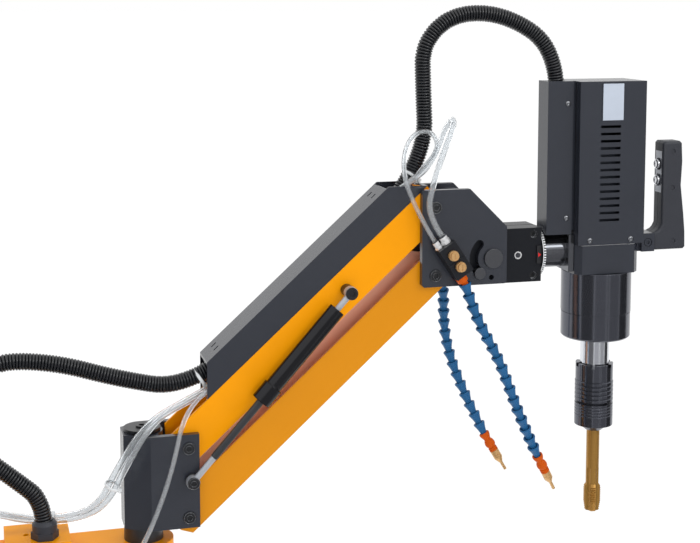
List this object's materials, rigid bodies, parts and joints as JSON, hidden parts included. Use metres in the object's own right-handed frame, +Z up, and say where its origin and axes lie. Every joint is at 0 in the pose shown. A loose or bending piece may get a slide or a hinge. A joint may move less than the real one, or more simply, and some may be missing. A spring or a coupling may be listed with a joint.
{
  "type": "arm tapping machine",
  "caption": "Arm tapping machine: a column with a swinging rear arm, a sprung parallel link arm, and a tilting motor head with spindle, chuck and tap.",
  "frame": {"origin": "centre of the base flange's underside, on the column's axis", "axes": "+Z up, +X along the arms at rest toward the tapping head, +Y to the back"},
  "size_m": [1.246, 0.2, 1.0066],
  "materials": {
    "orange_paint": "satin powder coat",
    "black_paint": "satin powder coat",
    "dark_steel": "black oxide",
    "bright_steel": "ground",
    "gloss_black": "polished black",
    "grey_steel": "zinc plated",
    "black_plastic": "moulded",
    "chrome": "polished",
    "brass": "turned",
    "bronze": "coated tool steel",
    "bearing_bronze": "turned",
    "blue_plastic": "moulded",
    "orange_plastic": "moulded",
    "clear_tube": "clear",
    "white_nylon": "natural"
  },
  "bodies": {
    "base": {"column": "orange_paint", "column_cap": "dark_steel"},
    "rear_arm_body": {"rear_arm": "orange_paint", "column_bushes": "bearing_bronze", "junction_box": "orange_paint", "front_post": "dark_steel", "post_cap": "dark_steel", "cable_gland": "black_plastic", "conduit_lower": "black_plastic", "tubes_lower": "clear_tube"},
    "swivel": {"swivel_bracket": "black_paint", "swivel_bushes": "bearing_bronze", "swivel_pins": "dark_steel"},
    "upper_arm": {"upper_channel": "orange_paint", "cable_cover": "black_paint", "gas_stud_high": "dark_steel", "conduit_upper": "black_plastic", "tubes_upper": "clear_tube", "cable_ties": "white_nylon"},
    "lower_arm": {"lower_channel": "orange_paint"},
    "gas_rod_body": {"gas_rod": "dark_steel", "gas_rod_eye": "grey_steel"},
    "gas_barrel_body": {"gas_barrel": "gloss_black", "gas_barrel_eye": "grey_steel"},
    "head_bracket": {"front_plate": "black_paint", "rear_plate": "black_paint", "head_pins": "dark_steel", "tilt_pin": "dark_steel", "spray_blocks": "black_plastic", "tube_fittings": "chrome", "coolant_hoses": "blue_plastic", "hose_connectors": "orange_plastic", "nozzle_tips": "brass"},
    "valve_high": {"knob_high": "brass"},
    "valve_low": {"knob_low": "brass"},
    "index": {"index_block": "black_paint", "tilt_lock": "dark_steel", "clamp_screws": "dark_steel", "pointer_plate": "black_paint"},
    "head": {"head_shaft": "gloss_black", "angle_dial": "black_paint", "motor_block": "black_paint", "motor": "black_paint", "motor_cover": "black_paint", "cover_screws": "dark_steel", "side_box": "black_paint", "gear_upper": "gloss_black", "gear_lower": "gloss_black", "spindle_bearings": "bright_steel", "handle_clamp": "black_paint", "handle_front": "black_plastic", "handle_rear": "black_plastic", "button_plate": "grey_steel"},
    "spindle_body": {"spindle": "bright_steel", "chuck_body": "gloss_black", "shaft_coupling": "bright_steel", "tap": "bronze"},
    "sleeve_body": {"chuck_sleeve": "gloss_black"},
    "upper_button": {"button_high": "chrome"},
    "lower_button": {"button_low": "chrome"}
  },
  "joints": [
    {"name": "base_swing", "type": "hinge", "parent": "base", "child": "rear_arm_body", "pos_m": [0, 0, 0.286], "axis": [0, 0, 1], "range_deg": [-150, 150]},
    {"name": "arm_swing", "type": "hinge", "parent": "rear_arm_body", "child": "swivel", "pos_m": [0.4, 0, 0.4], "axis": [0, 0, 1], "range_deg": [-110, 110], "deforming": ["conduit_lower", "tubes_lower"]},
    {"name": "arm_raise", "type": "hinge", "parent": "swivel", "child": "upper_arm", "pos_m": [0.454, 0, 0.45], "axis": [0, -1, 0], "range_deg": [-40, 10], "deforming": ["conduit_lower", "tubes_lower"]},
    {"name": "lower_link", "type": "hinge", "parent": "swivel", "child": "lower_arm", "pos_m": [0.454, 0, 0.36], "axis": [0, -1, 0], "range_deg": [-40, 10]},
    {"name": "gas_rod_turn", "type": "hinge", "parent": "swivel", "child": "gas_rod_body", "pos_m": [0.457, -0.05, 0.41], "axis": [0, -1, 0], "range_deg": [-37.5, 9.5]},
    {"name": "gas_barrel_turn", "type": "hinge", "parent": "upper_arm", "child": "gas_barrel_body", "pos_m": [0.6628, -0.05, 0.6406], "axis": [0, -1, 0], "range_deg": [-1, 3]},
    {"name": "head_level", "type": "hinge", "parent": "upper_arm", "child": "head_bracket", "pos_m": [0.78098, 0, 0.74442], "axis": [0, -1, 0], "range_deg": [-10, 40], "deforming": ["conduit_upper", "tubes_upper"]},
    {"name": "valve_high_turn", "type": "hinge", "parent": "head_bracket", "child": "valve_high", "pos_m": [0.79699, -0.06, 0.68451], "axis": [0, -1, 0], "range_deg": [0, 720]},
    {"name": "valve_low_turn", "type": "hinge", "parent": "head_bracket", "child": "valve_low", "pos_m": [0.80698, -0.06, 0.66953], "axis": [0, -1, 0], "range_deg": [0, 720]},
    {"name": "head_tilt", "type": "hinge", "parent": "head_bracket", "child": "index", "pos_m": [0.86098, 0, 0.67402], "axis": [0, 1, 0], "range_deg": [0, 40], "deforming": ["conduit_upper"]},
    {"name": "head_roll", "type": "hinge", "parent": "index", "child": "head", "pos_m": [0.936, 0, 0.67402], "axis": [1, 0, 0], "range_deg": [-90, 90], "deforming": ["conduit_upper"]},
    {"name": "spindle_spin", "type": "hinge", "parent": "head", "child": "spindle_body", "pos_m": [1.028, 0, 0.55], "axis": [0, 0, -1], "continuous": true},
    {"name": "sleeve_slide", "type": "slide", "parent": "spindle_body", "child": "sleeve_body", "axis": [0, 0, 1], "range_m": [0, 0.002], "stiffness_N_per_m": 1200, "springref_m": -0.004},
    {"name": "upper_button_press", "type": "slide", "parent": "head", "child": "upper_button", "axis": [1, 0, 0], "range_m": [0, 0.0025], "stiffness_N_per_m": 1000, "springref_m": -0.002},
    {"name": "lower_button_press", "type": "slide", "parent": "head", "child": "lower_button", "axis": [1, 0, 0], "range_m": [0, 0.0025], "stiffness_N_per_m": 1000, "springref_m": -0.002}
  ],
  "couplings": [
    {"joint": "lower_link", "follows": "arm_raise", "ratio": 1},
    {"joint": "head_level", "follows": "arm_raise", "ratio": -1},
    {"joint": "gas_rod_turn", "follows": "arm_raise", "ratio": 0.932},
    {"joint": "gas_barrel_turn", "follows": "arm_raise", "ratio": -0.068}
  ]
}
